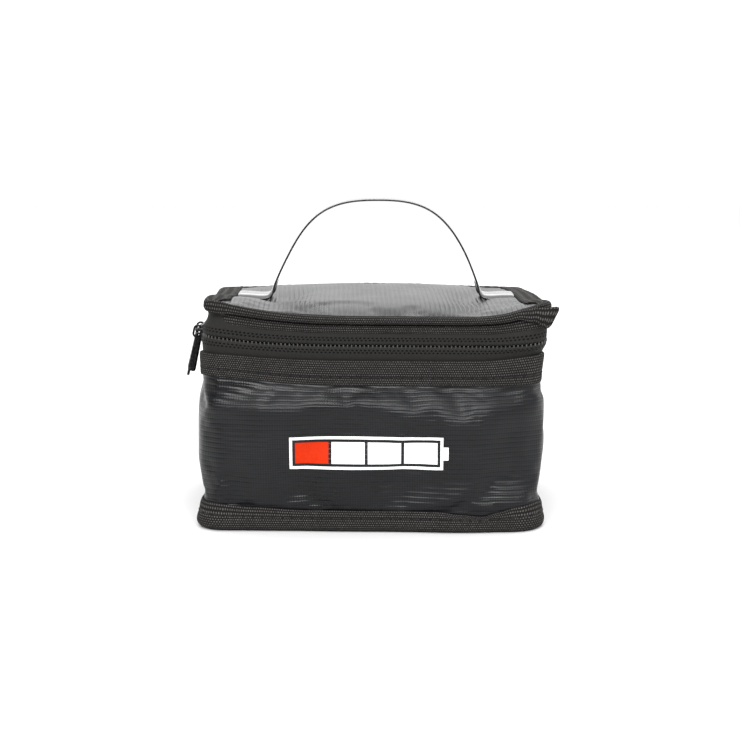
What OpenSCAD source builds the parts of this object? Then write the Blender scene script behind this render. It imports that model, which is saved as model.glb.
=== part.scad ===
// Padded, zipped pouch for storing and charging lithium battery packs, with a strap on its lid.
// Origin on the floor under the middle of the base. +X is the pouch's right, +Y its hinge side,
// +Z up. The zip runs round the front and both sides, and the lid hinges along the back wall.

/* [Pouch] */
// Width of the pouch, left to right
body_w = 155; // [130:1:200]
// Depth of the pouch, front to hinge
body_d = 115; // [100:1:150]
// Height of the lid's top above the floor
body_h = 102; // [85:1:130]
// Height of the lid's side, from the teeth of the zip to the lid's top
lid_side_h = 13; // [13:0.5:15]
// Radius of the four upright corners
corner_r = 10; // [8:1:16]

/* [Fabric] */
// Thickness of the coated outer fabric
outer_t = 0.8; // [0.6:0.1:1]
// Thickness of the foam padding
pad_t = 3; // [2:0.5:3.5]
// Thickness of the lining
liner_t = 0.7; // [0.5:0.1:1]
// Thickness of the grosgrain tape
tape_t = 0.9; // [0.6:0.1:1.2]

/* [Bindings] */
// Width of the flat tape round the rim of the walls
rim_tape_w = 12; // [9:1:15]
// Height of the binding round the base
base_binding_h = 11; // [9:1:14]
// How far the bound seams stand out from the walls
seam_out = 3; // [2:0.5:4]
// Width of the tape that lies on the lid along its left and right sides
side_flap_w = 11; // [8:1:13]

/* [Zip] */
// Thickness of the zip's woven tape
zip_tape_t = 0.6; // [0.5:0.1:0.8]
// Width of the lower tape that shows between the rim and the teeth
zip_tape_show = 9; // [7:0.5:10]
// Thickness of the row of coiled teeth, on the inner side of the tape
coil_t = 1.4; // [1:0.1:1.6]
// Place of the front slider along the left side
slider_front_y = -38; // [-40:1:-36]
// Distance between the two sliders
slider_pitch = 12; // [12:1:16]
// Angle of the hanging pull tabs from upright
tab_rest_angle = 13; // [5:1:30]
// Length of a pull tab from its eye to its tip
tab_l = 18.4; // [14:0.2:24]

/* [Strap] */
// Width of the carrying strap
strap_w = 20; // [16:1:25]
// Thickness of the carrying strap
strap_t = 1.1; // [0.8:0.1:1.5]
// Distance between the two feet of the strap
strap_span = 102; // [90:1:106]
// Height of the strap's arch above the lid
strap_rise = 46; // [38:1:60]

// Half the width of the arch at its shoulders
strap_shoulder_w = 36.5; // [32:0.5:40]

/* [Printed mark] */
// Width of the battery sign printed on the front
mark_w = 72; // [40:1:80]
// Height of the battery sign
mark_h = 15; // [10:1:20]

/* [Hidden] */

$fn = 48;
eps = 0.01;

// Levels of the walls and the lid
zip_z = body_h - lid_side_h;
wall_top = zip_z - zip_tape_show;
tape_bottom = wall_top - 5;
panel_z = body_h - outer_t;
lid_liner_z = panel_z - pad_t - liner_t;
// Insets from the outline, going inwards through the layers of the wall
pad_u = -outer_t;
zip_u = pad_u - zip_tape_t;
liner_u = pad_u - pad_t;
inner_u = liner_u - liner_t;
coil_u = zip_u - coil_t;
// The slot between the two halves of the zip, which the sliders' posts run in
zip_slot = 1.3;
coil_h = 1.75;
hinge_gap = 0.6;
// Flat face of the base binding that its stitches lie on
base_stitch_z = [5, 8];
thread = [0.3, 0.6];
// Pull links and tabs
plate_gap = 0.3;
plate_t = 1;
plate_h = 8;
slider_l = 11;
bar_r = 0.6;
bar_out = 2.2;
bar_rise = 1.6;
bridge_l = 7;
post_l = 3;
post_inset = 2;
floor_t = 0.7;
link_in_r = 1.1;
link_out_r = 2.1;
link_w = 1;
link_span = 2.2;
eye_r = 2;
eye_hole_r = 1.1;
tab_t = 1.2;
tab_w = [3.4, 4.6];
bar_x = -body_w / 2 + outer_t - plate_gap - plate_t - bar_out;
eye_drop = link_span + (link_in_r + link_out_r) / 2;
slider_rear_y = slider_front_y + slider_pitch;
// Strap: two cubic curves that meet level at the top, and whose handles give the arch shoulders
strap_z = body_h + 1;
strap_steps = 40;
strap_shoulder = [strap_shoulder_w, strap_rise * 0.83];
strap_crown = [strap_shoulder_w * 0.74, strap_rise * 1.006];
strap_gap_r = strap_w / 2 + 0.8;
foot_reach = 10;

cloth = [0.14, 0.145, 0.155];
webbing = [0.1, 0.095, 0.09];
foam = [0.55, 0.55, 0.57];
lining = [0.3, 0.31, 0.33];
nylon = [0.12, 0.11, 0.11];
thread_colour = [0.03, 0.03, 0.03];
metal = [0.05, 0.05, 0.055];
ink_white = [0.95, 0.95, 0.95];
ink_red = [0.9, 0.16, 0.08];

// Outline of the pouch, moved inwards
module outline(inset) {
    r = corner_r - inset;
    w = body_w - 2 * inset;
    d = body_d - 2 * inset;
    square([w - 2 * r, d], center = true);
    square([w, d - 2 * r], center = true);
    for (x = [-1, 1], y = [-1, 1]) {
        translate([x * (w / 2 - r), y * (d / 2 - r)])
            circle(r);
    }
}

// Flat layer of the base or the lid
module layer(inset, z, t) {
    translate([0, 0, z])
        linear_extrude(t)
            outline(inset);
}

// Straight stretch of a profile along one wall: 0 right, 1 back, 2 left, 3 front
module along_wall(side) {
    across = side % 2 == 0;
    length = (across ? body_d : body_w) - 2 * corner_r;
    rotate([0, 0, 90 * side])
        translate([(across ? body_w : body_d) / 2, length / 2, 0])
            rotate([90, 0, 0])
                linear_extrude(length)
                    children();
}

// Quarter turn of a profile round one upright corner
module round_corner(corner) {
    x = corner == 0 || corner == 3 ? 1 : -1;
    y = corner < 2 ? 1 : -1;
    translate([x * (body_w / 2 - corner_r), y * (body_d / 2 - corner_r), 0])
        rotate([0, 0, 90 * corner])
            rotate_extrude(angle = 90)
                translate([corner_r, 0])
                    children();
}

// Runs a profile round the pouch. The profile's x is outwards from the wall and its y is up
module round_pouch(sides = [0, 1, 2, 3]) {
    for (side = sides) {
        along_wall(side)
            children();
    }
    for (corner = [0:3]) {
        round_corner(corner)
            children();
    }
}

// Rectangle of a profile between two distances from the wall and two heights
module strip(u0, u1, z0, z1) {
    translate([u0, z0])
        square([u1 - u0, z1 - z0]);
}

module base_panel() {
    color(cloth)
        layer(0, 0, outer_t);
}

module base_padding() {
    color(foam)
        layer(-inner_u, outer_t, pad_t);
}

module base_liner() {
    color(lining)
        layer(-inner_u, outer_t + pad_t, liner_t);
}

// The tape folded over the seam of the base, which stands out like a low skirt
module base_binding() {
    color(webbing)
        round_pouch()
            polygon([
                [0, 0], [seam_out - 0.4, 0], [seam_out, 1.2], [seam_out - 0.2, 3.2],
                [seam_out - 1, base_stitch_z[0]], [seam_out - 1, base_stitch_z[1]],
                [tape_t, base_binding_h], [0, base_binding_h]
            ]);
}

module base_stitching() {
    u = seam_out - 1;
    z = (base_stitch_z[0] + base_stitch_z[1] - thread[1]) / 2;
    color(thread_colour)
        round_pouch()
            strip(u, u + thread[0], z, z + thread[1]);
}

module wall_panel() {
    color(cloth)
        round_pouch()
            strip(pad_u, 0, outer_t, wall_top);
}

// Foam of the walls, thinned at the top where the zip's tape is sewn in
module wall_padding() {
    color(foam)
        round_pouch() {
            strip(liner_u, pad_u, outer_t, tape_bottom);
            strip(liner_u, zip_u, tape_bottom - eps, wall_top - 1);
        }
}

module wall_liner() {
    color(lining)
        round_pouch()
            strip(inner_u, liner_u, outer_t, wall_top - 1);
}

module rim_tape() {
    color(webbing)
        round_pouch()
            strip(0, tape_t, wall_top - rim_tape_w, wall_top);
}

module rim_stitching() {
    z = wall_top - rim_tape_w * 0.67;
    color(thread_colour)
        round_pouch()
            strip(tape_t, tape_t + thread[0], z, z + thread[1]);
}

// Tape over the raw edges inside the rim
module inner_rim_binding() {
    color(webbing)
        round_pouch() {
            strip(inner_u - tape_t, inner_u, wall_top - 8, wall_top + 1);
            strip(inner_u - eps, zip_u, wall_top - 1, wall_top + 1);
        }
}

// The back wall has no zip: one band of fabric joins the rim to the lid, as two halves here
module hinge_band_lower() {
    color(cloth)
        along_wall(1)
            strip(zip_u, pad_u, tape_bottom, zip_z - hinge_gap / 2);
}

module hinge_band_upper() {
    color(cloth)
        along_wall(1)
            strip(zip_u, pad_u, zip_z + hinge_gap / 2, panel_z);
}

module lower_zip_tape() {
    color(nylon)
        round_pouch([0, 2, 3])
            strip(zip_u, pad_u, tape_bottom, zip_z - zip_slot / 2);
}

module upper_zip_tape() {
    color(nylon)
        round_pouch([0, 2, 3])
            strip(zip_u, pad_u, zip_z + zip_slot / 2, panel_z);
}

module lower_zip_coil() {
    color(metal)
        round_pouch([0, 2, 3])
            strip(coil_u, zip_u, zip_z - zip_slot / 2 - coil_h, zip_z - zip_slot / 2);
}

module upper_zip_coil() {
    color(metal)
        round_pouch([0, 2, 3])
            strip(coil_u, zip_u, zip_z + zip_slot / 2, zip_z + zip_slot / 2 + coil_h);
}

// Printed battery sign: an outline with a terminal, and four charge cells in it
mark_at = [-1, 37];
mark_line = 1.2;
mark_pole = [2.4, 6];
mark_ink = 0.15;
mark_cells_n = 4;
mark_gap = 1.4;
mark_cell_w = (mark_w - mark_pole[0] - 2 * mark_line - mark_gap) / mark_cells_n - mark_gap;
mark_cell_h = mark_h - 2 * mark_line - 2 * mark_gap;

module on_front() {
    translate([mark_at[0] - mark_w / 2, -body_d / 2, mark_at[1] - mark_h / 2])
        rotate([90, 0, 0])
            linear_extrude(mark_ink)
                children();
}

module mark_cell(i) {
    x = mark_line + mark_gap + i * (mark_cell_w + mark_gap);
    translate([x, mark_line + mark_gap])
        square([mark_cell_w, mark_cell_h]);
}

module mark_outline() {
    case_w = mark_w - mark_pole[0];
    color(ink_white)
        on_front() {
            difference() {
                square([case_w, mark_h]);
                translate([mark_line, mark_line])
                    square([case_w - 2 * mark_line, mark_h - 2 * mark_line]);
            }
            translate([case_w - eps, (mark_h - mark_pole[1]) / 2])
                square([mark_pole[0], mark_pole[1]]);
        }
}

module mark_cells() {
    color(ink_white)
        on_front()
            for (i = [1:mark_cells_n - 1]) {
                mark_cell(i);
            }
}

module mark_low_cell() {
    color(ink_red)
        on_front()
            mark_cell(0);
}

module lid_panel() {
    color(cloth)
        layer(0, panel_z, outer_t);
}

module lid_padding() {
    color(foam)
        layer(-zip_u, panel_z - pad_t, pad_t);
}

module lid_liner() {
    color(lining)
        layer(-zip_u, lid_liner_z, liner_t);
}

// The tape folded over the seam of the lid, with a wide flap on the lid at the left and right
module lid_binding() {
    low_z = body_h - 7.5;
    flap_u = -4;
    flap_l = body_d + 2 * flap_u + 2 * eps;
    flap_x = body_w / 2 + flap_u;
    color(webbing) {
        round_pouch()
            polygon([
                [pad_u, low_z], [tape_t - 0.3, low_z], [1, low_z + 2.5], [seam_out - 0.4, low_z + 3.1],
                [seam_out + 0.2, low_z + 4.7], [seam_out - 0.2, panel_z], [1.6, body_h + tape_t],
                [flap_u, body_h + tape_t], [flap_u, body_h], [0, body_h], [0, panel_z], [pad_u, panel_z]
            ]);
        for (x = [-1, 1]) {
            translate([x * (flap_x - (side_flap_w + flap_u) / 2), 0, body_h + tape_t / 2])
                cube([side_flap_w + flap_u + 2 * eps, flap_l, tape_t], center = true);
        }
    }
}

module lid_stitching() {
    u = -3;
    color(thread_colour)
        round_pouch()
            strip(u, u + thread[1], body_h + tape_t, body_h + tape_t + thread[0]);
}

// Tape over the raw edges inside the lid
module inner_lid_binding() {
    color(webbing)
        round_pouch() {
            strip(zip_u - 4, zip_u, lid_liner_z - tape_t, lid_liner_z);
            strip(zip_u - tape_t, zip_u, lid_liner_z - 4, lid_liner_z - tape_t + eps);
        }
}

// Centreline of the strap's arch, from foot to foot, at t from 0 to 1
function half_arch(t) =
    let (foot = [strap_span / 2, 0], top = [0, strap_rise], s = 1 - t)
    s ^ 3 * foot + 3 * s ^ 2 * t * strap_shoulder + 3 * s * t ^ 2 * strap_crown + t ^ 3 * top;
function arch(t) =
    let (side = t < 0.5 ? -1 : 1, p = half_arch(1 - abs(2 * t - 1)))
    [side * p[0], p[1]];
function arch_normal(t) =
    let (d = arch(min(1, t + eps)) - arch(max(0, t - eps)))
    [-d[1], d[0]] / norm(d);

// The whole arch of the strap, feet included, with its width along Y
module strap_arch() {
    edge = [for (i = [0:strap_steps]) i / strap_steps];
    translate([0, strap_w / 2, strap_z])
        rotate([90, 0, 0])
            linear_extrude(strap_w)
                polygon(concat(
                    [for (t = edge) arch(t) + arch_normal(t) * strap_t / 2],
                    [for (i = [strap_steps:-1:0]) arch(edge[i]) - arch_normal(edge[i]) * strap_t / 2]
                ));
}

// One sewn-down end of the strap, with the rounded foot that the arch leans round
module strap_end(side) {
    foot_x = strap_span / 2;
    end_x = body_w / 2 - side_flap_w;
    color(webbing) {
        translate([side * (foot_x + end_x - strap_t) / 2, 0, body_h + (strap_z - body_h) / 2])
            cube([end_x - foot_x + strap_t, strap_w, strap_z - body_h], center = true);
        intersection() {
            strap_arch();
            translate([side * foot_x - foot_reach, 0, strap_z])
                rotate([0, 90, 0])
                    cylinder(r = strap_w / 2, h = 2 * foot_reach);
            translate([side * foot_x - foot_reach, -strap_w, strap_z - eps])
                cube([2 * foot_reach, 2 * strap_w, strap_w]);
        }
    }
}

module strap_end_left() {
    strap_end(-1);
}

module strap_end_right() {
    strap_end(1);
}

module handle_strap() {
    color(webbing)
        intersection() {
            strap_arch();
            translate([-body_w / 2, -strap_w, strap_z + strap_gap_r])
                cube([body_w, 2 * strap_w, 2 * strap_rise]);
        }
}

// Slider of a zip whose teeth are on the inner side: plates in and out, joined by a post that
// runs between the teeth, and a bridge outside for the pull
module slider(y) {
    out_x = bar_x + bar_out;
    in_x = -body_w / 2 - coil_u + plate_gap;
    leg = [bar_out + bar_r / 2, 1.2, 1.8];
    inner_l = slider_l - 2;
    inner_h = plate_h - 1;
    translate([0, y, zip_z])
        color(metal) {
            translate([out_x + plate_t / 2, 0, 0])
                rotate([0, 90, 0])
                    linear_extrude(plate_t, center = true)
                        slider_face(plate_h);
            translate([in_x + plate_t / 2, 0, 0])
                cube([plate_t, inner_l, inner_h], center = true);
            translate([out_x, post_inset - slider_l / 2, -zip_slot / 4])
                cube([in_x - out_x + eps, post_l, zip_slot / 2]);
            translate([in_x - coil_t + plate_gap, -inner_l / 2, -inner_h / 2])
                cube([coil_t - plate_gap + eps, inner_l, floor_t]);
            for (s = [-1, 1]) {
                translate([out_x + eps - leg[0], s * (bridge_l - leg[1]) / 2 - leg[1] / 2, bar_rise - leg[2] / 2])
                    cube(leg);
            }
            translate([bar_x, bridge_l / 2, bar_rise])
                rotate([90, 0, 0])
                    cylinder(r = bar_r, h = bridge_l);
        }
}

// Face of a slider's outer plate: its height is along X here and its length along Y
module slider_face(h) {
    r = 1.5;
    square([h - 2 * r, slider_l], center = true);
    square([h, slider_l - 2 * r], center = true);
    for (x = [-1, 1], y = [-1, 1]) {
        translate([x * (h / 2 - r), y * (slider_l / 2 - r)])
            circle(r);
    }
}

module slider_front() {
    slider(slider_front_y);
}

module slider_rear() {
    slider(slider_rear_y);
}

// Puts a part drawn hanging below the bridge's bar in its place, at the angle where it rests
module at_bar(y) {
    translate([bar_x, y, zip_z + bar_rise])
        rotate([0, tab_rest_angle, 0])
            children();
}

module link_outline(r) {
    circle(r);
    translate([0, -link_span])
        circle(r);
    translate([-r, -link_span])
        square([2 * r, link_span]);
}

// Closed wire link between the bridge's bar and the eye of the tab
module pull_link(y) {
    color(metal)
        at_bar(y)
            translate([0, link_w / 2, 0])
                rotate([90, 0, 0])
                    linear_extrude(link_w)
                        difference() {
                            link_outline(link_out_r);
                            link_outline(link_in_r);
                        }
}

module pull_link_front() {
    pull_link(slider_front_y);
}

module pull_link_rear() {
    pull_link(slider_rear_y);
}

// Flat tapered tab, drawn in the YZ plane below the centre of its eye
module pull_tab(y) {
    tip = tab_w[1] / 2;
    color(metal)
        at_bar(y)
            translate([-tab_t / 2, 0, -eye_drop])
                rotate([90, 0, 90])
                    difference() {
                        union() {
                            cylinder(r = eye_r, h = tab_t);
                            linear_extrude(tab_t)
                                polygon([
                                    [-tab_w[0] / 2, 0], [tab_w[0] / 2, 0], [tip, 1 - tab_l],
                                    [tip - 1, -tab_l], [1 - tip, -tab_l], [-tip, 1 - tab_l]
                                ]);
                        }
                        translate([0, 0, -1])
                            cylinder(r = eye_hole_r, h = tab_t + 2);
                    }
}

module pull_tab_front() {
    pull_tab(slider_front_y);
}

module pull_tab_rear() {
    pull_tab(slider_rear_y);
}

base_panel();
base_padding();
base_liner();
base_binding();
base_stitching();
wall_panel();
wall_padding();
wall_liner();
rim_tape();
rim_stitching();
inner_rim_binding();
hinge_band_lower();
lower_zip_tape();
lower_zip_coil();
mark_outline();
mark_cells();
mark_low_cell();
lid_panel();
lid_padding();
lid_liner();
lid_binding();
lid_stitching();
inner_lid_binding();
hinge_band_upper();
upper_zip_tape();
upper_zip_coil();
strap_end_left();
strap_end_right();
handle_strap();
slider_front();
slider_rear();
pull_link_front();
pull_link_rear();
pull_tab_front();
pull_tab_rear();
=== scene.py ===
"""Padded, zipped pouch for battery packs: the looks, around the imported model.

Lengths are worked out in millimetres and turned into metres when a mesh is made. A place on the
pouch is given by how far round the outline it is (s, from the middle of the back, over the left
side, the front and the right side), how far out from the wall (u), and its height (z).
"""
from math import atan2, copysign, cos, exp, hypot, pi, radians, sin

import bpy
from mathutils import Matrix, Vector
from mathutils.bvhtree import BVHTree


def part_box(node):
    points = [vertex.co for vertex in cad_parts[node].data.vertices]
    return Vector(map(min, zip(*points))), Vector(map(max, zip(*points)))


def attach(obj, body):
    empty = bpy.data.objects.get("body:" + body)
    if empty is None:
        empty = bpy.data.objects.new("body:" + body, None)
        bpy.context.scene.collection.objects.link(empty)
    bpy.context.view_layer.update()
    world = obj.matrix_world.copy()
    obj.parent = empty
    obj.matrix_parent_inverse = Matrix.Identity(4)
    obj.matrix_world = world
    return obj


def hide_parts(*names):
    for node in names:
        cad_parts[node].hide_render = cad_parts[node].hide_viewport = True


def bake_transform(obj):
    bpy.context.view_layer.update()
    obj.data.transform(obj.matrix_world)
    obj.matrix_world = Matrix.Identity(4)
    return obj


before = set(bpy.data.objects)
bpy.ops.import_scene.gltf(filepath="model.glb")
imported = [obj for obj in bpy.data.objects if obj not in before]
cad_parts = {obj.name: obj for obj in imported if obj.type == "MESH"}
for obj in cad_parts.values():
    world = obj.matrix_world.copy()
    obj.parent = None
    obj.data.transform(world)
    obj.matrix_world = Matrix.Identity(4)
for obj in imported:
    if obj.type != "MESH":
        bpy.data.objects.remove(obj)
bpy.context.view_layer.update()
MM = 0.001
scene = bpy.context.scene


def box_mm(node):
    """Lowest and highest corner of a CAD node, in millimetres."""
    low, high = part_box(node)
    return Vector(low) / MM, Vector(high) / MM


# ---------------------------------------------------------------- sizes from the frame
HALF_W, HALF_D, RIM_TOP = box_mm("wall_panel")[1]
CORNER_R = HALF_W - box_mm("hinge_band_lower")[1].x
RIM_LOW = box_mm("rim_tape")[0].z
ZIP_Z = (box_mm("lower_zip_tape")[1].z + box_mm("upper_zip_tape")[0].z) / 2
ZIP_LOW = box_mm("lower_zip_tape")[0].z
LID_Z = box_mm("lid_panel")[1].z
LID_FOAM = box_mm("lid_padding")
LID_LINING = box_mm("lid_liner")
BASE_FOAM = box_mm("base_padding")
BASE_LINING = box_mm("base_liner")
WALL_INNER = HALF_W - BASE_LINING[1].x
FOOT_X = 51.0       # where the strap leaves the lid
SHOULDER_X = 36.5   # where its arch is widest
STRAP_LO, STRAP_HI = box_mm("handle_strap")
STRAP_W = STRAP_HI.y - STRAP_LO.y
STRAP_Z = LID_Z + 1.0
TAIL_X = box_mm("strap_end_right")[1].x
FLAP_W = HALF_W - TAIL_X
ZIP_TOP = LID_Z - 1.2
WALL_FOOT = 0.9     # where the layers of the wall start, above the floor

CLOTH_T, LINING_T, ZIP_T = 0.8, 0.7, 0.55
TAPE_T, RIM_T, THIN_TAPE_T = 0.8, 0.7, 0.6
GRID_PITCH, GROSGRAIN_PITCH, TEETH_PITCH = 1.12, 1.05, 1.85

SIDE_X = HALF_W - CORNER_R
SIDE_Y = HALF_D - CORNER_R
ARC = pi * CORNER_R / 2
STRETCHES = [SIDE_X, ARC, 2 * SIDE_Y, ARC, 2 * SIDE_X, ARC, 2 * SIDE_Y, ARC, SIDE_X]
ROUND = sum(STRETCHES)
FRONT = ROUND / 2
CORNER_S = SIDE_X + ARC / 2


# ---------------------------------------------------------------- small maths
def smooth(value, low, high):
    t = min(1.0, max(0.0, (value - low) / (high - low)))
    return t * t * (3 - 2 * t)


def hump(distance, width):
    return exp(-0.5 * (distance / width) ** 2)


def lerp(a, b, t):
    return a + (b - a) * t


def turn(count):
    """Angles of evenly spaced points round a full turn."""
    return [2 * pi * k / count for k in range(count)]


def along(points, x):
    """Value at x on a smooth line through (x, value) points."""
    if x <= points[0][0]:
        return points[0][1]
    for (x0, v0), (x1, v1) in zip(points, points[1:]):
        if x <= x1:
            return lerp(v0, v1, smooth(x, x0, x1))
    return points[-1][1]


def steps(low, high, size):
    """Evenly spaced values from low to high, about size apart."""
    count = max(1, round((high - low) / size))
    return [low + (high - low) * i / count for i in range(count + 1)]


def past_front(s):
    """How far round the outline s lies from the middle of the front, towards the right."""
    return (s % ROUND) - FRONT


def around(s):
    """Point of the outline and its outward direction, s millimetres round from the back."""
    s = s % ROUND
    at = Vector((0.0, HALF_D))
    heading = pi
    for i, length in enumerate(STRETCHES):
        step = min(s, length)
        if i % 2:
            centre = at - Vector((sin(heading), -cos(heading))) * CORNER_R
            heading += step / CORNER_R
            at = centre + Vector((sin(heading), -cos(heading))) * CORNER_R
        else:
            at = at + Vector((cos(heading), sin(heading))) * step
        s -= step
        if s <= 1e-9:
            break
    return at.x, at.y, sin(heading), -cos(heading)


def edge_s(side, offset):
    """Where on the outline a point of one side lies; offset is measured from the side's middle."""
    half = SIDE_X if side in ("front", "back") else SIDE_Y
    reach = min(abs(offset), half)
    reach += max(0.0, abs(offset) - half) / CORNER_R * ARC / 2
    middle = {"front": FRONT, "back": 0.0, "left": SIDE_X + ARC + SIDE_Y,
              "right": ROUND - SIDE_X - ARC - SIDE_Y}[side]
    sign = -1 if side in ("left", "back") else 1
    return middle + sign * copysign(reach, offset)


# ---------------------------------------------------------------- how the soft pouch sits
# Height of the seams against the straight CAD ones: level, middle of the front, front left corner,
# front right corner, how far the left corner's lift runs back along the side, back corners
SEAMS = [
    (RIM_LOW - 9, 0.0, 0.0, 0.0, 12, 0.0),
    (RIM_LOW, -1.0, 3.8, 0.3, 12, 0.0),
    (RIM_TOP, -1.2, 2.4, 2.0, 12, 0.0),
    (ZIP_Z, -3.5, 2.2, -0.3, 9, 0.0),
    (LID_Z - 7, -3.2, 3.0, 1.2, 14, -0.6),
    (LID_Z, -4.4, 4.6, 4.4, 26, -2.0),
]


def seam_lift(s, row):
    """How far a seam lies above its straight CAD place."""
    from_front = past_front(s)
    left = from_front + CORNER_S
    right = from_front - CORNER_S
    middle = 1 - smooth(abs(from_front), 50, 100)
    back = hump(abs(from_front) - (FRONT - CORNER_S), 30)
    slope = 0.007 * from_front * middle if row[1] else 0.0
    return (row[1] * middle - slope + row[2] * hump(left, 22 if left > 0 else row[4])
            + row[3] * hump(right, 12) + row[5] * back)


def lift(s, z):
    """How far a point of the wall or the zip is lifted, between the seams below and above it."""
    if z <= SEAMS[0][0]:
        return 0.0
    for low, high in zip(SEAMS, SEAMS[1:]):
        if z <= high[0]:
            return lerp(seam_lift(s, low), seam_lift(s, high), smooth(z, low[0], high[0]))
    return seam_lift(s, SEAMS[-1])


def shift(x, y, z):
    """The lid sits a little to the right of the walls."""
    depth = along([(-HALF_D, 1.0), (0.0, 0.8), (HALF_D, 0.0)], y)
    zip_part = 1.4 * smooth(x, -70, 70)
    if z <= ZIP_Z:
        return zip_part * smooth(z, RIM_LOW, ZIP_Z) * depth
    return lerp(zip_part, 3.0, smooth(z, ZIP_Z + 1, LID_Z - 5)) * depth


# How far the foot of the front wall stands forward of the straight CAD one
TOE = [(-70, 0.0), (-35, 1.2), (0, 2.6), (45, 4.6), (62, 3.6), (80, 0.4)]


def bulge(s, z):
    """How far the padded wall swells out between its corners and seams."""
    from_front = past_front(s)
    left, right = hump(from_front + CORNER_S, 13), hump(from_front - CORNER_S, 13)
    front = 1 - smooth(abs(from_front), SIDE_X - 24, SIDE_X + 8)
    side = 1 - smooth(abs(abs(from_front) - FRONT / 2), SIDE_Y - 24, SIDE_Y + 8)
    back = smooth(abs(from_front), FRONT - SIDE_X - 8, FRONT - SIDE_X + 24)
    level = smooth(z, 7, 34) * (1 - smooth(z, RIM_LOW - 11, RIM_LOW + 3))
    out = (3.8 * front + 1.8 * side + 2.4 * back + 0.2 * left - 0.4 * right) * level
    out += along(TOE, from_front) * (1 - smooth(z, 9, 26))
    zip_swell = 0.3 + 1.9 * right + 0.3 * front
    slider_side = smooth(from_front, -CORNER_S - 12, -CORNER_S + 4)
    out += zip_swell * slider_side * hump(z - ZIP_Z, 4.5)
    return out


# Soft ridges under the tape that face upwards: middle, width, height, how steeply they fall
RIDGES = [(-58, 10, RIM_LOW - 9, 0.05), (-38, 14, RIM_LOW - 10, 0.10), (-4, 14, RIM_LOW - 10, 0.10),
          (12, 10, RIM_LOW - 13, 0.22), (32, 15, RIM_LOW - 15, 0.12), (60, 14, RIM_LOW - 12, -0.05)]


def pucker(s, z):
    """Soft folds that hang from the stitched tape and stand up from the seam of the base."""
    under_tape = smooth(z, RIM_LOW - 24, RIM_LOW - 4) * (1 - smooth(z, RIM_LOW - 1, RIM_LOW + 3))
    waves = (0.5 * sin(s / 6.1 + 0.8) + 0.35 * sin(s / 3.9 + z / 9 + 2.0)
             + 0.3 * sin(s / 11.3 + 1.1))
    low = hump(z - 16, 7)
    creases = 0.35 * sin(s / 5.3 - z / 4 + 0.4) + 0.25 * sin(s / 8.7 + z / 6)
    from_front = past_front(s)
    ridges = 0.0
    for middle, width, level, fall in RIDGES:
        off = from_front - middle
        ridges += hump(off, width) * hump(z - level + fall * off, 5.0)
    return 0.55 * under_tape * waves + 0.6 * low * creases + 1.7 * ridges


def place(s, u, z):
    """Where a point of the straight pouch lies on the soft one."""
    x, y, nx, ny = around(s)
    out = u + bulge(s, z)
    return Vector((x + nx * out + shift(x, y, z), y + ny * out, z + lift(s, z)))


def profile(s, rows):
    """Section of the pouch at s, from rows of place outwards and height."""
    return [place(s, u, z) for u, z in rows]


def lid_edge(side, offset):
    return seam_lift(edge_s(side, offset), SEAMS[-1])


LID_CROWN = 4.6


def lid_height(x, y):
    """Height of the lid's outer face: its edges follow the seam, and its padding crowns it."""
    a = min(1.0, max(0.0, (x + HALF_W) / (2 * HALF_W)))
    b = min(1.0, max(0.0, (y + HALF_D) / (2 * HALF_D)))
    front, back = lid_edge("front", x), lid_edge("back", x)
    left, right = lid_edge("left", y), lid_edge("right", y)
    corners = [[lid_edge("front", -HALF_W), lid_edge("front", HALF_W)],
               [lid_edge("back", -HALF_W), lid_edge("back", HALF_W)]]
    flat = sum(lerp(corners[i][0], corners[i][1], a) * (b if i else 1 - b) for i in (0, 1))
    z = LID_Z + lerp(front, back, b) + lerp(left, right, a) - flat
    crown = (1 - abs(2 * a - 1) ** 3) * (1 - abs(2 * b - 1) ** 2.6)
    z += LID_CROWN * crown
    # Flat under the strap's feet, with a hollow inside each and a valley in front of it
    for side in (-1, 1):
        foot = hump(x - side * FOOT_X, 15) * hump(y, 17)
        z = lerp(z, STRAP_Z - 1.1, min(1.0, 1.15 * foot))
        z -= 3.6 * hump(x - side * (FOOT_X - 7), 5.5) * hump(y + 3, 12)
        valley = x - side * (FOOT_X - 6 - 3 * side)
        z -= 1.6 * hump(valley, 6) * smooth(-y, 2, 18) * (1 - smooth(-y, 42, HALF_D))
    return z


def on_lid(x, y, above=0.0):
    """Point above the lid's outer face; x and y are those of the straight CAD lid."""
    return Vector((x + shift(x, y, LID_Z), y, lid_height(x, y) + above))


# ---------------------------------------------------------------- meshes
def make_mesh(name, points, faces, uvs=None, smooth_faces=True):
    """Object from points and texture coordinates in millimetres."""
    mesh = bpy.data.meshes.new(name)
    mesh.from_pydata([tuple(Vector(p) * MM) for p in points], [], faces)
    if uvs:
        flat = [c * MM for face in uvs for uv in face for c in uv]
    else:
        flat = [0.0] * (2 * len(mesh.loops))
    mesh.uv_layers.new(name="UVMap").data.foreach_set("uv", flat)
    if smooth_faces:
        mesh.polygons.foreach_set("use_smooth", [True] * len(mesh.polygons))
    mesh.update()
    obj = bpy.data.objects.new(name, mesh)
    scene.collection.objects.link(obj)
    return obj


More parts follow.
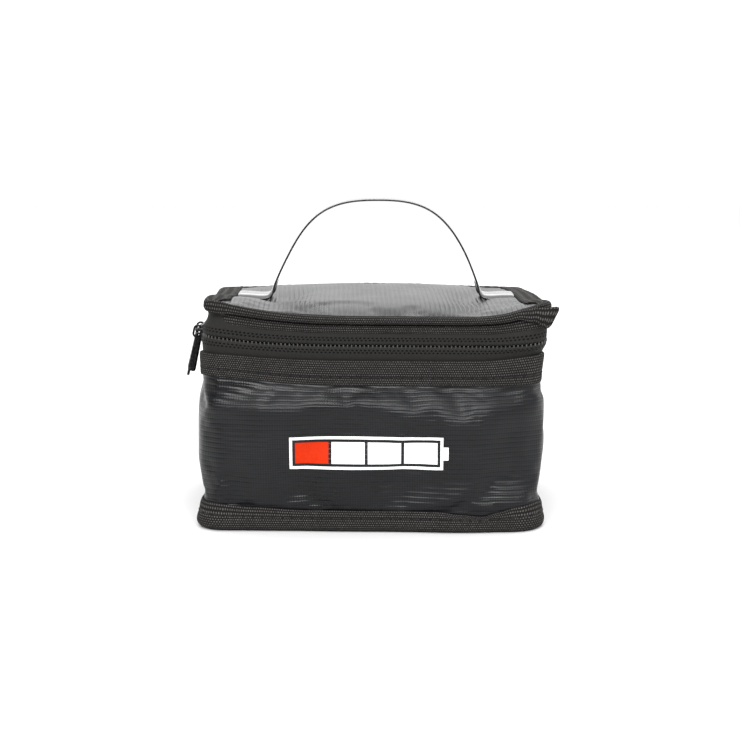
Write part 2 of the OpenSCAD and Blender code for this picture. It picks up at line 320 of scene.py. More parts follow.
def sweep(name, stations, section, closed=False, ring=False, end=0.0):
    """Skin over the sections at the stations; ring sections are closed loops with capped ends."""
    rows = [section(s) for s in stations]
    across = len(rows[0])
    count = len(rows)
    middle = rows[count // 2]
    v = [0.0]
    for p, q in zip(middle, middle[1:] + middle[:1]):
        v.append(v[-1] + (Vector(q) - Vector(p)).length)
    points = [p for row in rows for p in row]
    faces, uvs = [], []
    for i in range(count if closed else count - 1):
        i2 = (i + 1) % count
        u0 = stations[i]
        u1 = stations[i2] if i2 else end
        for j in range(across if ring else across - 1):
            j2 = (j + 1) % across
            faces.append((i * across + j, i2 * across + j, i2 * across + j2, i * across + j2))
            uvs.append(((u0, v[j]), (u1, v[j]), (u1, v[j + 1]), (u0, v[j + 1])))
    if ring and not closed:
        for i, order in ((0, 1), (count - 1, -1)):
            cap = [i * across + j for j in range(across)][::order]
            faces.append(tuple(cap))
            uvs.append(tuple((stations[i], v[j]) for j in range(across))[::order])
    return make_mesh(name, points, faces, uvs)


def band(name, size, section, ring=False):
    """Sweep all round the outline, in steps of about the given size."""
    return sweep(name, steps(0, ROUND, size)[:-1], section, closed=True, ring=ring, end=ROUND)


def skin(points, faces, rings, closed=False):
    """Adds a tube over rings of points, with capped ends unless it is closed."""
    start, sides, count = len(points), len(rings[0]), len(rings)
    for ring in rings:
        points.extend(ring)
    for i in range(count if closed else count - 1):
        a, b = start + i * sides, start + (i + 1) % count * sides
        for k in range(sides):
            k2 = (k + 1) % sides
            faces.append((a + k, a + k2, b + k2, b + k))
    if not closed:
        faces.append(tuple(range(start, start + sides))[::-1])
        faces.append(tuple(range(start + (count - 1) * sides, start + count * sides)))


def grid_faces(across, rows, start=0):
    """Faces over rows of points."""
    return [tuple(start + j * across + i + k for k in (0, 1, across + 1, across))
            for j in range(rows - 1) for i in range(across - 1)]


def grid(name, xs, ys, point, corner):
    """Sheet over a rectangle of x and y, with its corners rounded off."""
    half_x, half_y = xs[-1], ys[-1]
    points, flat = [], []
    for y in ys:
        for x in xs:
            p = (abs(x) - half_x + corner) / corner
            q = (abs(y) - half_y + corner) / corner
            fx, fy = x, y
            if p > 0 and q > 0:
                pull = max(p, q) / hypot(p, q)
                fx = copysign(half_x - corner + p * pull * corner, x)
                fy = copysign(half_y - corner + q * pull * corner, y)
            points.append(point(fx, fy))
            flat.append((fx, fy))
    faces = grid_faces(len(xs), len(ys))
    return make_mesh(name, points, faces, [[flat[k] for k in face] for face in faces])


def thicken(obj, thickness, offset=-1.0):
    mod = obj.modifiers.new("thickness", "SOLIDIFY")
    mod.thickness = thickness * MM
    mod.offset = offset
    mod.use_even_offset = True


def subdivide(obj, levels=1):
    mod = obj.modifiers.new("subdivision", "SUBSURF")
    mod.levels = mod.render_levels = levels
    mod.uv_smooth = "PRESERVE_BOUNDARIES"


def bevel(obj, width, segments=2):
    mod = obj.modifiers.new("edges", "BEVEL")
    mod.width = width * MM
    mod.segments = segments
    mod.limit_method = "ANGLE"


def join(name, objects):
    """One object out of several whose modifiers are already worked out."""
    points, faces, uvs = [], [], []
    for obj in objects:
        start = len(points)
        mesh = obj.data
        points += [v.co / MM for v in mesh.vertices]
        layer = mesh.uv_layers.active.data
        for poly in mesh.polygons:
            faces.append(tuple(start + i for i in poly.vertices))
            uvs.append(tuple(tuple(layer[k].uv / MM) for k in poly.loop_indices))
        bpy.data.objects.remove(obj)
    return make_mesh(name, points, faces, uvs)


# ---------------------------------------------------------------- materials
class Shader:
    """A node material that is built up step by step."""

    def __init__(self, name, rough=0.5, **sockets):
        self.mat = bpy.data.materials.new(name)
        self.mat.use_nodes = True
        self.tree = self.mat.node_tree
        self.tree.nodes.clear()
        out = self.new("ShaderNodeOutputMaterial")
        self.bsdf = self.new("ShaderNodeBsdfPrincipled")
        self.tree.links.new(self.bsdf.outputs[0], out.inputs[0])
        self.bsdf.inputs["Roughness"].default_value = rough
        for key, value in sockets.items():
            self.bsdf.inputs[key.replace("_", " ")].default_value = value
        uv = self.new("ShaderNodeUVMap")
        uv.uv_map = "UVMap"
        split = self.new("ShaderNodeSeparateXYZ")
        self.tree.links.new(uv.outputs[0], split.inputs[0])
        self.u, self.v = split.outputs[0], split.outputs[1]
        self.space = self.new("ShaderNodeTexCoord").outputs["Object"]

    def new(self, kind):
        return self.tree.nodes.new(kind)

    def put(self, socket, value):
        if isinstance(value, bpy.types.NodeSocket):
            self.tree.links.new(value, socket)
        else:
            socket.default_value = value

    def math(self, op, a, b=0.0, clamp=False):
        node = self.new("ShaderNodeMath")
        node.operation = op
        node.use_clamp = clamp
        self.put(node.inputs[0], a)
        self.put(node.inputs[1], b)
        return node.outputs[0]

    def times(self, a, b):
        return self.math("MULTIPLY", a, b)

    def weave(self, pitch):
        """Small pillows: 1 in the middle of each square of the weave."""
        return self.times(self.wave(self.u, pitch), self.wave(self.v, pitch))

    def wave(self, coord, period, phase=0.0):
        """0 at every period, 1 half-way between."""
        turned = self.math("ADD", self.times(coord, pi / period), phase)
        return self.math("ABSOLUTE", self.math("SINE", turned))

    def noise(self, size, detail=2.0, rough=0.5):
        node = self.new("ShaderNodeTexNoise")
        self.put(node.inputs["Vector"], self.space)
        node.inputs["Scale"].default_value = 1 / size
        node.inputs["Detail"].default_value = detail
        node.inputs["Roughness"].default_value = rough
        return node.outputs[0]

    def spread(self, value, low, high, to_low=0.0, to_high=1.0):
        node = self.new("ShaderNodeMapRange")
        self.put(node.inputs["Value"], value)
        for key, number in (("From Min", low), ("From Max", high), ("To Min", to_low),
                            ("To Max", to_high)):
            node.inputs[key].default_value = number
        return node.outputs[0]

    def mix(self, amount, a, b):
        node = self.new("ShaderNodeMix")
        node.data_type = "RGBA"
        self.put(node.inputs[0], amount)
        for index, value in ((6, a), (7, b)):
            if isinstance(value, (tuple, list)):
                value = (*value, 1.0)
            self.put(node.inputs[index], value)
        return node.outputs[2]

    def colour(self, value):
        self.put(self.bsdf.inputs["Base Color"], value)

    def roughness(self, value):
        self.put(self.bsdf.inputs["Roughness"], value)

    def relief(self, *layers):
        """Bump layers, each (height socket, depth in mm)."""
        normal = None
        for height, depth in layers:
            node = self.new("ShaderNodeBump")
            node.inputs["Distance"].default_value = depth * MM
            self.put(node.inputs["Height"], height)
            if normal:
                self.put(node.inputs["Normal"], normal)
            normal = node.outputs[0]
        self.put(self.bsdf.inputs["Normal"], normal)


def coated_cloth(name, rib_depth, gloss, front_to_back=False):
    """PVC-coated grid weave: small pillows, with every second rib a little stronger. Its colour is
    lighter on the pillows and darker in the grooves between them: a painted highlight and painted
    shade of the weave.
    """
    m = Shader(name, rough=0.36, Specular_IOR_Level=gloss)
    pitch = GRID_PITCH * MM
    pillow = m.weave(pitch)
    ribs = m.wave(m.u if front_to_back else m.v, 2 * pitch)
    worn = m.noise(0.03, 3)
    fine = m.noise(0.0006, 2)
    # Colour lighter on the pillow tops and darker in the grooves: painted highlight and painted
    # shade of the weave, varied in random patches.
    shade = m.times(pillow, m.spread(worn, 0.35, 0.7, 0.4, 1.0))
    m.colour(m.mix(shade, (0.0015, 0.0016, 0.002), (0.012, 0.0125, 0.0155)))
    m.roughness(m.math("ADD", m.spread(worn, 0.3, 0.7, 0.24, 0.34),
                       m.spread(fine, 0.3, 0.7, 0.0, 0.06)))
    m.relief((pillow, 0.07), (ribs, rib_depth), (worn, 0.25))
    return m.mat


def grosgrain(name):
    """Ribbed woven tape: rows of small floats over a dark ground, every other row shifted. The
    floats are coloured light, a painted highlight on each float.
    """
    m = Shader(name, rough=0.85, Specular_IOR_Level=0.14)
    pitch = GROSGRAIN_PITCH * MM
    row = m.wave(m.v, pitch)
    row_number = m.math("FLOOR", m.math("DIVIDE", m.v, pitch))
    shifted = m.math("ADD", m.u, m.times(row_number, pitch / 2))
    float_ = m.times(m.wave(shifted, pitch), row)
    fuzz = m.noise(0.0004, 3)
    patch = m.noise(0.012, 2)
    # The floats are coloured much lighter than the ground: painted highlights, broken up by fine
    # fuzz and random patches.
    shade = m.times(m.spread(float_, 0.45, 0.9), m.spread(fuzz, 0.32, 0.62, 0.1, 1.0))
    shade = m.times(shade, m.spread(patch, 0.3, 0.7, 0.7, 1.0))
    m.colour(m.mix(shade, (0.0075, 0.0069, 0.0064), (0.13, 0.123, 0.118)))
    m.relief((float_, 0.2), (fuzz, 0.05))
    return m.mat


def zip_cloth(name):
    """Fine zip tape, with two rows of dots either side of the teeth from the coil's stitching. The
    dots are painted near black: painted shade in the stitch holes.

    v is measured away from the teeth."""
    m = Shader(name, rough=0.66, Specular_IOR_Level=0.16)
    pitch = TEETH_PITCH * MM
    twill = m.wave(m.math("ADD", m.u, m.v), 0.42 * MM)
    fuzz = m.noise(0.0005, 3)
    dots = None
    for place_v, phase in ((1.9, 0.0), (3.0, pi / 2)):
        off = m.math("ABSOLUTE", m.math("SUBTRACT", m.v, place_v * MM))
        near = m.math("SUBTRACT", 1.0, m.math("DIVIDE", off, 0.62 * MM), clamp=True)
        row = m.times(near, m.spread(m.wave(m.u, pitch, phase), 0.45, 0.9))
        dots = row if dots is None else m.math("MAXIMUM", dots, row)
    hole = m.spread(dots, 0.3, 0.75)
    cloth = m.mix(m.times(twill, m.spread(fuzz, 0.3, 0.7, 0.4, 1.0)),
                  (0.01, 0.0096, 0.0088), (0.02, 0.0192, 0.018))
    # Stitch holes painted near black: painted shade in the holes.
    m.colour(m.mix(hole, cloth, (0.0008, 0.0008, 0.0008)))
    m.roughness(m.spread(hole, 0.0, 1.0, 0.66, 1.0))
    m.relief((twill, 0.035), (m.times(hole, -1.0), 0.35), (fuzz, 0.03))
    return m.mat


def strap_cloth(name):
    """Flat coated strap with fine ribs across it."""
    m = Shader(name, rough=0.14, Specular_IOR_Level=0.6, Coat_Weight=0.9, Coat_Roughness=0.08)
    ribs = m.wave(m.u, 0.7 * MM)
    fine = m.noise(0.0008, 2)
    m.colour(m.mix(m.times(ribs, fine), (0.005, 0.005, 0.0055), (0.013, 0.013, 0.014)))
    m.roughness(m.spread(fine, 0.3, 0.7, 0.13, 0.22))
    m.relief((ribs, 0.02), (fine, 0.01))
    return m.mat


def lining_cloth(name):
    m = Shader(name, rough=0.62, Sheen_Weight=0.2)
    weave = m.weave(0.5 * MM)
    cloud = m.noise(0.02, 3)
    shade = m.times(weave, m.spread(cloud, 0.3, 0.7, 0.5, 1.0))
    m.colour(m.mix(shade, (0.10, 0.105, 0.115), (0.24, 0.25, 0.265)))
    m.relief((weave, 0.06), (cloud, 0.5))
    return m.mat


def foam_stuff(name):
    m = Shader(name, rough=0.95)
    cells = m.noise(0.0009, 4, 0.7)
    m.colour(m.mix(m.spread(cells, 0.35, 0.65), (0.22, 0.22, 0.23), (0.42, 0.42, 0.43)))
    m.relief((cells, 0.3))
    return m.mat


def thread_stuff(name):
    m = Shader(name, rough=0.6, Specular_IOR_Level=0.3)
    ply = m.wave(m.math("ADD", m.u, m.v), 0.45 * MM)
    m.colour(m.mix(ply, (0.003, 0.003, 0.003), (0.02, 0.019, 0.018)))
    m.relief((ply, 0.08))
    return m.mat


def needle_hole_painted_shade(name):
    # Near-black colour: painted shade inside the needle holes.
    m = Shader(name, rough=1.0)
    fine = m.noise(0.0003, 1)
    m.colour(m.mix(fine, (0.0004, 0.0004, 0.0004), (0.001, 0.001, 0.001)))
    return m.mat


def coil_stuff(name):
    m = Shader(name, rough=0.3)
    fine = m.noise(0.0007, 2)
    m.colour(m.mix(fine, (0.012, 0.012, 0.012), (0.055, 0.054, 0.052)))
    m.roughness(m.spread(fine, 0.3, 0.7, 0.22, 0.4))
    return m.mat


def black_metal(name):
    """Plated metal, worn lighter where it rubs."""
    m = Shader(name, rough=0.24, Metallic=1.0)
    rub = m.noise(0.0016, 3, 0.6)
    brush = m.noise(0.0003, 2)
    m.colour(m.mix(m.spread(rub, 0.5, 0.78), (0.022, 0.022, 0.024), (0.08, 0.08, 0.083)))
    m.roughness(m.spread(brush, 0.3, 0.7, 0.18, 0.32))
    m.relief((rub, 0.03), (brush, 0.01))
    return m.mat


def ink(name, thin, full):
    """Screen-printed ink, thinner over the ribs of the cloth."""
    m = Shader(name, rough=0.55, Specular_IOR_Level=0.1)
    pillow = m.weave(1.05 * MM)
    cover = m.spread(m.noise(0.0011, 3), 0.25, 0.6, 0.55, 1.0)
    m.colour(m.mix(m.times(cover, m.spread(pillow, 0.0, 0.5, 0.8, 1.0)), thin, full))
    m.relief((pillow, 0.04))
    return m.mat


MATS = {
    "cloth": coated_cloth("coated_cloth", 0.10, 0.28),
    "lid": coated_cloth("coated_cloth_lid", 0.25, 0.35, front_to_back=True),
    "grosgrain": grosgrain("grosgrain"),
    "zip": zip_cloth("zip_tape"),
    "strap": strap_cloth("strap_webbing"),
    "lining": lining_cloth("lining"),
    "foam": foam_stuff("foam"),
    "thread": thread_stuff("thread"),
    # Needle holes: near-black painted shade.
    "hole": needle_hole_painted_shade("needle_hole_painted_shade"),
    "coil": coil_stuff("zip_coil"),
    "metal": black_metal("black_metal"),
    "white": ink("white_ink", (0.62, 0.62, 0.62), (0.93, 0.93, 0.93)),
    "red": ink("red_ink", (0.4, 0.02, 0.003), (0.56, 0.026, 0.002)),
}


def dress(obj, body, mats, slot, *nodes, blend_to=None):
    """Gives a piece its materials, its body and the CAD nodes that it stands for.

    blend_to names the next body and the points where a change to it would start and end; only its
    presence is used: the piece is then baked in place and given no body."""
    for mat in [mats] if isinstance(mats, str) else mats:
        obj.data.materials.append(MATS[mat])
    if blend_to:
        other, start, end = blend_to
        tuple(c * MM for c in start)
        tuple(c * MM for c in end)
        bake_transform(obj)
    else:
        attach(obj, body)
    if nodes:
        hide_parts(*nodes)


# ---------------------------------------------------------------- cloth simulation
def settle(obj, held, pressure, slack, frames, cap, sink):
    """Lets a padded panel swell against its sewn-down points, and keeps how it lies."""
    rest = [v.co.copy() for v in obj.data.vertices]
    group = obj.vertex_groups.new(name="sewn")
    group.add(held, 1.0, "REPLACE")
    mod = obj.modifiers.new("cloth", "CLOTH")
    cloth = mod.settings
    cloth.vertex_group_mass = "sewn"
    cloth.pin_stiffness = 50
    cloth.quality = 8
    cloth.mass = 0.12
    cloth.tension_stiffness = cloth.compression_stiffness = 30
    cloth.shear_stiffness = 12
    cloth.bending_stiffness = 3.0
    cloth.air_damping = 2
    cloth.effector_weights.gravity = 0
    cloth.use_pressure = True
    cloth.uniform_pressure_force = pressure
    cloth.shrink_min = -slack
    mod.collision_settings.use_collision = False
    mod.point_cache.frame_start = 1
    mod.point_cache.frame_end = frames
    for number in range(1, frames + 1):
        scene.frame_set(number)
    done = obj.evaluated_get(bpy.context.evaluated_depsgraph_get())
    mesh = done.to_mesh()
    moved = [v.co.copy() for v in mesh.vertices]
    done.to_mesh_clear()
    obj.modifiers.remove(mod)
    obj.vertex_groups.remove(group)
    scene.frame_set(1)
    far = 0.0
    for vertex, old, new in zip(obj.data.vertices, rest, moved):
        step = new - old
        far = max(far, step.length)
        if step.length > cap * MM:
            step *= cap * MM / step.length
        inward = -step.dot(vertex.normal) - sink * MM
        if inward > 0:
            step += vertex.normal * inward
        vertex.co = old + step
    obj.data.update()
    print("settled", obj.name, "furthest move", round(far / MM, 2), "mm")


# ---------------------------------------------------------------- camera, light and floor
def look():
    """Camera at the photograph's place: in front of the pouch, looking a little down on it."""
    data = bpy.data.cameras.new("camera")
    data.lens = 73.0
    data.sensor_width = 36
    camera = bpy.data.objects.new("camera", data)
    camera.location = Vector((-0.5, -727.0, 180.7)) * MM
    camera.rotation_euler = (radians(90 - 9.02), 0, 0)
    scene.collection.objects.link(camera)
    scene.camera = camera


def area_light(name, at, aim, size, power):
    data = bpy.data.lights.new(name, "AREA")
    data.shape = "RECTANGLE"
    data.size, data.size_y = size
    data.energy = power
    lamp = bpy.data.objects.new(name, data)
    lamp.location = at
    lamp.rotation_euler = (Vector(aim) - Vector(at)).to_track_quat("-Z", "Y").to_euler()
    scene.collection.objects.link(lamp)


def studio():
    """White behind, above and at the sides, and a dimmer room on the side that the pouch faces."""
    world = bpy.data.worlds.new("studio")
    scene.world = world
    world.use_nodes = True
    nodes, link = world.node_tree.nodes, world.node_tree.links.new
    back = nodes["Background"]
    back.inputs[0].default_value = (1.0, 1.0, 1.0, 1.0)
    coord, split, path, seen, both, across = (nodes.new("ShaderNode" + kind) for kind in (
        "TexCoord", "SeparateXYZ", "LightPath", "Mix", "Math", "Math"))
    across.operation = "MULTIPLY_ADD"
    across.inputs[1].default_value = 0.45
    seen.inputs[3].default_value = 1.06
    ramps = []
    for numbers in ((-0.9, 0.0, 0.12, 1.06), (0.4, 0.95, 0.0, 1.1)):
        ramp = nodes.new("ShaderNodeMapRange")
        ramp.interpolation_type = "SMOOTHSTEP"
        for key, number in zip(("From Min", "From Max", "To Min", "To Max"), numbers):
            ramp.inputs[key].default_value = number
        ramps.append(ramp)
    room, top = ramps
    for source, target in (
            (coord.outputs["Generated"], split.inputs[0]), (split.outputs[0], across.inputs[0]),
            (split.outputs[1], across.inputs[2]), (across.outputs[0], room.inputs["Value"]),
            (split.outputs[2], top.inputs["Value"]), (room.outputs[0], both.inputs[0]),
            (top.outputs[0], both.inputs[1]), (path.outputs["Is Camera Ray"], seen.inputs[0]),
            (both.outputs[0], seen.inputs[2]), (seen.outputs[0], back.inputs[1])):
        link(source, target)
    scene.view_settings.view_transform = "Standard"
    area_light("key", (-0.1, -1.25, 0.85), (0, 0, 0.06), (1.5, 0.4), 27)
    area_light("behind", (0.1, 1.0, 0.8), (0, 0, 0.08), (1.6, 0.8), 6)
    paper = bpy.data.materials.new("paper")
    paper.use_nodes = True
    inputs = paper.node_tree.nodes["Principled BSDF"].inputs
    inputs["Base Color"].default_value = (0.7, 0.7, 0.7, 1)
    inputs["Roughness"].default_value = 0.9
    inputs["Specular IOR Level"].default_value = 0.1
    reach, front = 3000, 450
    floor = make_mesh("floor", [(-reach, -front, 0), (reach, -front, 0), (reach, reach, 0),
                                (-reach, reach, 0)], [(0, 1, 2, 3)])
    floor.data.materials.append(paper)


# ---------------------------------------------------------------- walls
def wall_cloth():
    levels = [WALL_FOOT, 3, 6, 8.5, 10.5, 12, 13.5, 15] + steps(17, RIM_LOW - 2, 2.0) + [
        RIM_LOW, RIM_LOW + 3, RIM_LOW + 7, RIM_TOP]
    wall = band("wall_cloth", 2.0, lambda s: [place(s, pucker(s, z), z) for z in levels])
    held = [i for i in range(len(wall.data.vertices))
            if not 12 <= levels[i % len(levels)] <= RIM_LOW - 1]
    settle(wall, held, pressure=0.5, slack=0.02, frames=20, cap=2.5, sink=0.8)
    thicken(wall, CLOTH_T)
    subdivide(wall)
    dress(wall, "pouch", "cloth", "coated_cloth", "wall_panel")


def wall_inside():
    top = RIM_TOP - 1
    inner_u = -WALL_INNER + 0.8
    levels = [WALL_FOOT, 5, 12, 25, 45, 62, ZIP_LOW - 1, ZIP_LOW, top]

    def foam_section(s):
        return profile(s, [(-2.3 if z < 50 else -2.9, z) for z in levels]
                       + [(inner_u, z) for z in reversed(levels)])

    foam = band("wall_foam", 3.5, foam_section, ring=True)
    dress(foam, "pouch", "foam", "foam", "wall_padding")

    def lining_section(s):
        quilt = 0.35 * sin(s / 4.5)
        return [place(s, inner_u - 0.05 + quilt * smooth(z, 8, 30) * (1 - smooth(z, 50, 75)), z)
                for z in [WALL_FOOT, 6, 12, 20, 30, 40, 50, 60, 68, 74, top]]

    lining = band("wall_lining", 2.5, lining_section)
    thicken(lining, LINING_T)
    subdivide(lining)
    dress(lining, "pouch", "lining", "lining", "wall_liner")


# ---------------------------------------------------------------- base
def layer_grid(name, box, point, step=4.0):
    """Flat layer over the box of a CAD layer."""
    low, high = box
    return grid(name, steps(low.x, high.x, step), steps(low.y, high.y, step), point,
                corner=CORNER_R - (HALF_W - high.x))


def base():
    cloth = layer_grid("base_cloth", box_mm("base_panel"), lambda x, y: Vector((x, y, 0.85)))
    thicken(cloth, CLOTH_T)
    subdivide(cloth)
    dress(cloth, "pouch", "cloth", "coated_cloth", "base_panel")

    def crowned(z, rise):
        """Layer at height z, a little higher in the middle."""
        return lambda x, y: Vector((
            x, y, z + rise * ((1 - (x / HALF_W) ** 4) * (1 - (y / HALF_D) ** 4))))

    foam = layer_grid("base_foam", BASE_FOAM, crowned(BASE_FOAM[1].z - 0.1, 0.5))
    thicken(foam, BASE_FOAM[1].z - BASE_FOAM[0].z - 0.2)
    dress(foam, "pouch", "foam", "foam", "base_padding")

    lining = layer_grid("base_lining", BASE_LINING, crowned(BASE_LINING[1].z, 0.6))
    thicken(lining, 0.65)
    subdivide(lining)
    dress(lining, "pouch", "lining", "lining", "base_liner")


# Top edge of the binding along the front, against its straight height
BINDING_EDGE = [(-84, 2.2), (-74, 2.0), (-55, 0.4), (-30, -0.9), (30, -1.1), (41, -2.4), (51, -3.4),
                (57, -1.6), (66, 0.8), (75, 2.2), (84, 1.2)]


def binding_rise(s):
    """How far the base binding's top edge lies above its straight place."""
    from_front = past_front(s)
    fade = smooth(abs(from_front), BINDING_EDGE[-1][0], 110)
    return lerp(along(BINDING_EDGE, from_front), 0.5 * sin(s / 17.0 + 1.0), fade)


def base_section(s):
    rise = binding_rise(s)
    from_front = past_front(s)
    left, right = hump(from_front + CORNER_S, 14), hump(from_front - CORNER_S, 14)
    wave = 0.25 * sin(s / 9.0) + 0.2 * sin(s / 4.7 + 1.3)
    flare = 0.5 * left - 0.3 * right + 0.5 * wave
    return profile(s, [
        (-7.0, 0.5), (-3.0, 0.45), (0.4, 0.45), (1.9 + 0.4 * flare, 0.7), (2.8 + flare, 1.7),
        (3.1 + flare, 3.4), (2.8 + flare, 5.2), (2.2 + 0.8 * flare, 6.9),
        (1.9 + 0.6 * flare, 8.2 + 0.4 * rise), (1.6 + 0.3 * flare, 9.8 + 0.8 * rise),
        (1.1, 10.9 + rise), (0.3, 11.0 + rise)])


def base_binding():
    tape = band("base_tape", 2.0, base_section)
    thicken(tape, TAPE_T)
    subdivide(tape)
    dress(tape, "pouch", "grosgrain", "grosgrain", "base_binding")


# ---------------------------------------------------------------- rim and zip
def rim_section(s):
    wave = 0.18 * sin(s / 7.3) + 0.12 * sin(s / 3.7 + 0.6)
    low, top = RIM_LOW, RIM_TOP
    return profile(s, [
        (0.15, low + 0.1), (0.85 + wave, low), (1.0 + wave, low + 2.5), (0.75, low + 4.2),
        (0.95 + 0.5 * wave, low + 6), (1.0, low + 9), (0.95, top - 0.4), (0.5, top + 0.1),
        (-0.3, top - 0.2)])


def inner_rim_section(s):
    u, top = -WALL_INNER, RIM_TOP
    return profile(s, [
        (-1.6, top - 0.6), (-1.9, top + 0.9), (u + 1.0, top + 1.0), (u - 0.4, top + 0.6),
        (u - 0.9, top - 1), (u - 0.9, top - 7.6), (u - 0.5, top - 8)])


def rim():
    tape = band("rim_band", 2.0, rim_section)
    thicken(tape, RIM_T)
    subdivide(tape)
    dress(tape, "pouch", "grosgrain", "grosgrain", "rim_tape")

    inner = band("inner_rim_tape", 2.5, inner_rim_section)
    thicken(inner, THIN_TAPE_T, offset=1)
    subdivide(inner)
    dress(inner, "pouch", "grosgrain", "grosgrain", "inner_rim_binding")


def zip_section(s, upper):
    """Tape from the teeth outwards; the slot between the tapes shows the teeth.

    The tapes part near the hinge, so that they stay clear of each other when the lid is open."""
    from_end = min(s - SIDE_X, ROUND - SIDE_X - s)
    edge = 0.42 + 2.2 * (1 - smooth(from_end, 0, 10))
    if upper:
        return profile(s, [
            (-0.75, ZIP_Z + edge), (-0.55, ZIP_Z + 0.8 + edge), (-0.45, ZIP_Z + 2.0 + edge),
            (-0.4, ZIP_Z + 4.8), (-0.45, ZIP_Z + 6), (-0.6, ZIP_Z + 8), (-0.85, ZIP_Z + 10.5),
            (-0.95, ZIP_TOP)])
    return profile(s, [
        (-0.75, ZIP_Z - edge), (-0.55, ZIP_Z - 0.8 - edge), (-0.4, ZIP_Z - 2.0 - edge),
        (-0.35, ZIP_Z - 4.8), (-0.4, ZIP_Z - 6), (-0.65, RIM_TOP), (-0.9, RIM_TOP - 2.5),
        (-1.0, ZIP_LOW)])


def tooth(points, faces, s, low, high, u):
    """One loop of a coil: a short bar across the slot, bent back to the tape at both ends."""
    tip = copysign(0.25, high - low)
    rings = []
    for z, out, swell in ((low, u - 0.5, 0.8), (lerp(low, high, 0.35), u, 1.0),
                          (high - tip, u + 0.05, 1.15), (high, u - 0.25, 0.8)):
        rings.append([place(s + 0.36 * swell * cos(a), out + 0.38 * swell * sin(a), z)
                      for a in turn(6)])
    skin(points, faces, rings)


def zip_half(upper):
    """One tape with its teeth, round the whole outline but the straight part of the back."""
    name = "high" if upper else "low"
    stations = steps(SIDE_X, ROUND - SIDE_X, TEETH_PITCH)
    tape = sweep("zip_tape_" + name, stations, lambda s: zip_section(s, upper))
    if not upper:
        tape.data.flip_normals()
    thicken(tape, ZIP_T)
    subdivide(tape)
    body = "lid" if upper else "pouch"
    node = "upper_zip_" if upper else "lower_zip_"
    dress(tape, body, "zip", "zip_tape", node + "tape")

    points, faces = [], []
    root, tip, u = (1.6, 0.1, -1.5) if upper else (-1.6, 0.35, -0.85)
    s = SIDE_X + 7 + (TEETH_PITCH / 2 if upper else 0.0)
    while s < ROUND - SIDE_X - 7:
        tooth(points, faces, s, ZIP_Z + root, ZIP_Z + tip, u)
        s += TEETH_PITCH
    coil = make_mesh("zip_coil_" + name, points, faces)
    if upper:
        coil.data.flip_normals()
    dress(coil, body, "coil", "zip_coil", node + "coil")


def hinge():
    rows = [(-0.85, z) for z in (
        ZIP_LOW, RIM_TOP - 1, RIM_TOP + 1, RIM_TOP + 3, RIM_TOP + 5, ZIP_Z - 1.5, ZIP_Z,
        ZIP_Z + 1.5, ZIP_Z + 3.5, ZIP_Z + 5.5, ZIP_Z + 8, LID_Z - 3, ZIP_TOP)]
    cloth = sweep("hinge_cloth", steps(-SIDE_X, SIDE_X, 2.0), lambda s: profile(s, rows))
    thicken(cloth, THIN_TAPE_T)
    dress(cloth, "pouch", "cloth", "coated_cloth", "hinge_band_lower", "hinge_band_upper",
          blend_to=("lid", (0, HALF_D - 0.8, ZIP_Z - 3.5), (0, HALF_D - 0.8, ZIP_Z + 3.5)))


# ---------------------------------------------------------------- lid
def lid_cloth():
    xs = steps(-HALF_W - 0.3, HALF_W + 0.3, 2.1)
    ys = steps(-HALF_D - 0.3, HALF_D + 0.3, 2.1)
    lid = grid("lid_cloth", xs, ys, on_lid, corner=CORNER_R)
    held = []
    for i in range(len(lid.data.vertices)):
        x, y = xs[i % len(xs)], ys[i // len(xs)]
        border = HALF_W - abs(x) < 4 or HALF_D - abs(y) < 3
        foot = abs(y) < STRAP_W / 2 + 1 and abs(x) > FOOT_X - 2
        flap = abs(x) > TAIL_X - 1
        if border or foot or flap:
            held.append(i)
    settle(lid, held, pressure=0.4, slack=0.012, frames=20, cap=0.5, sink=0.4)
    thicken(lid, CLOTH_T)
    subdivide(lid)
    dress(lid, "lid", "lid", "coated_cloth", "lid_panel")


def lid_inside():
    foam = layer_grid("lid_foam", LID_FOAM, lambda x, y: on_lid(x, y, -1.9))
    thicken(foam, LID_FOAM[1].z - LID_FOAM[0].z - 1.2)
    dress(foam, "lid", "foam", "foam", "lid_padding")

    drop = LID_Z - LID_LINING[1].z
    lining = layer_grid("lid_lining", LID_LINING, lambda x, y: on_lid(x, y, -drop), step=3.0)
    thicken(lining, LINING_T)
    subdivide(lining)
    dress(lining, "lid", "lining", "lining", "lid_liner")

    top = LID_LINING[0].z
    rows = [(-1.5, top - 5), (-1.9, top - 5), (-2.1, top - 2), (-2.4, top - 0.6),
            (-3.0, top - 0.3), (-5.4, top - 0.3), (-5.5, top + 0.2)]
    inner = band("inner_lid_tape", 2.5, lambda s: profile(s, rows))
    inner.data.flip_normals()
    thicken(inner, THIN_TAPE_T, offset=1)
    subdivide(inner)
    dress(inner, "lid", "grosgrain", "grosgrain", "inner_lid_binding")


def side_weight(s):
    """1 along the left and right sides, 0 along the front and the back."""
    from_front = abs(past_front(s))
    return smooth(from_front, CORNER_S - 3, CORNER_S + 9) * (
        1 - smooth(from_front, FRONT - CORNER_S - 4, FRONT - CORNER_S + 6))


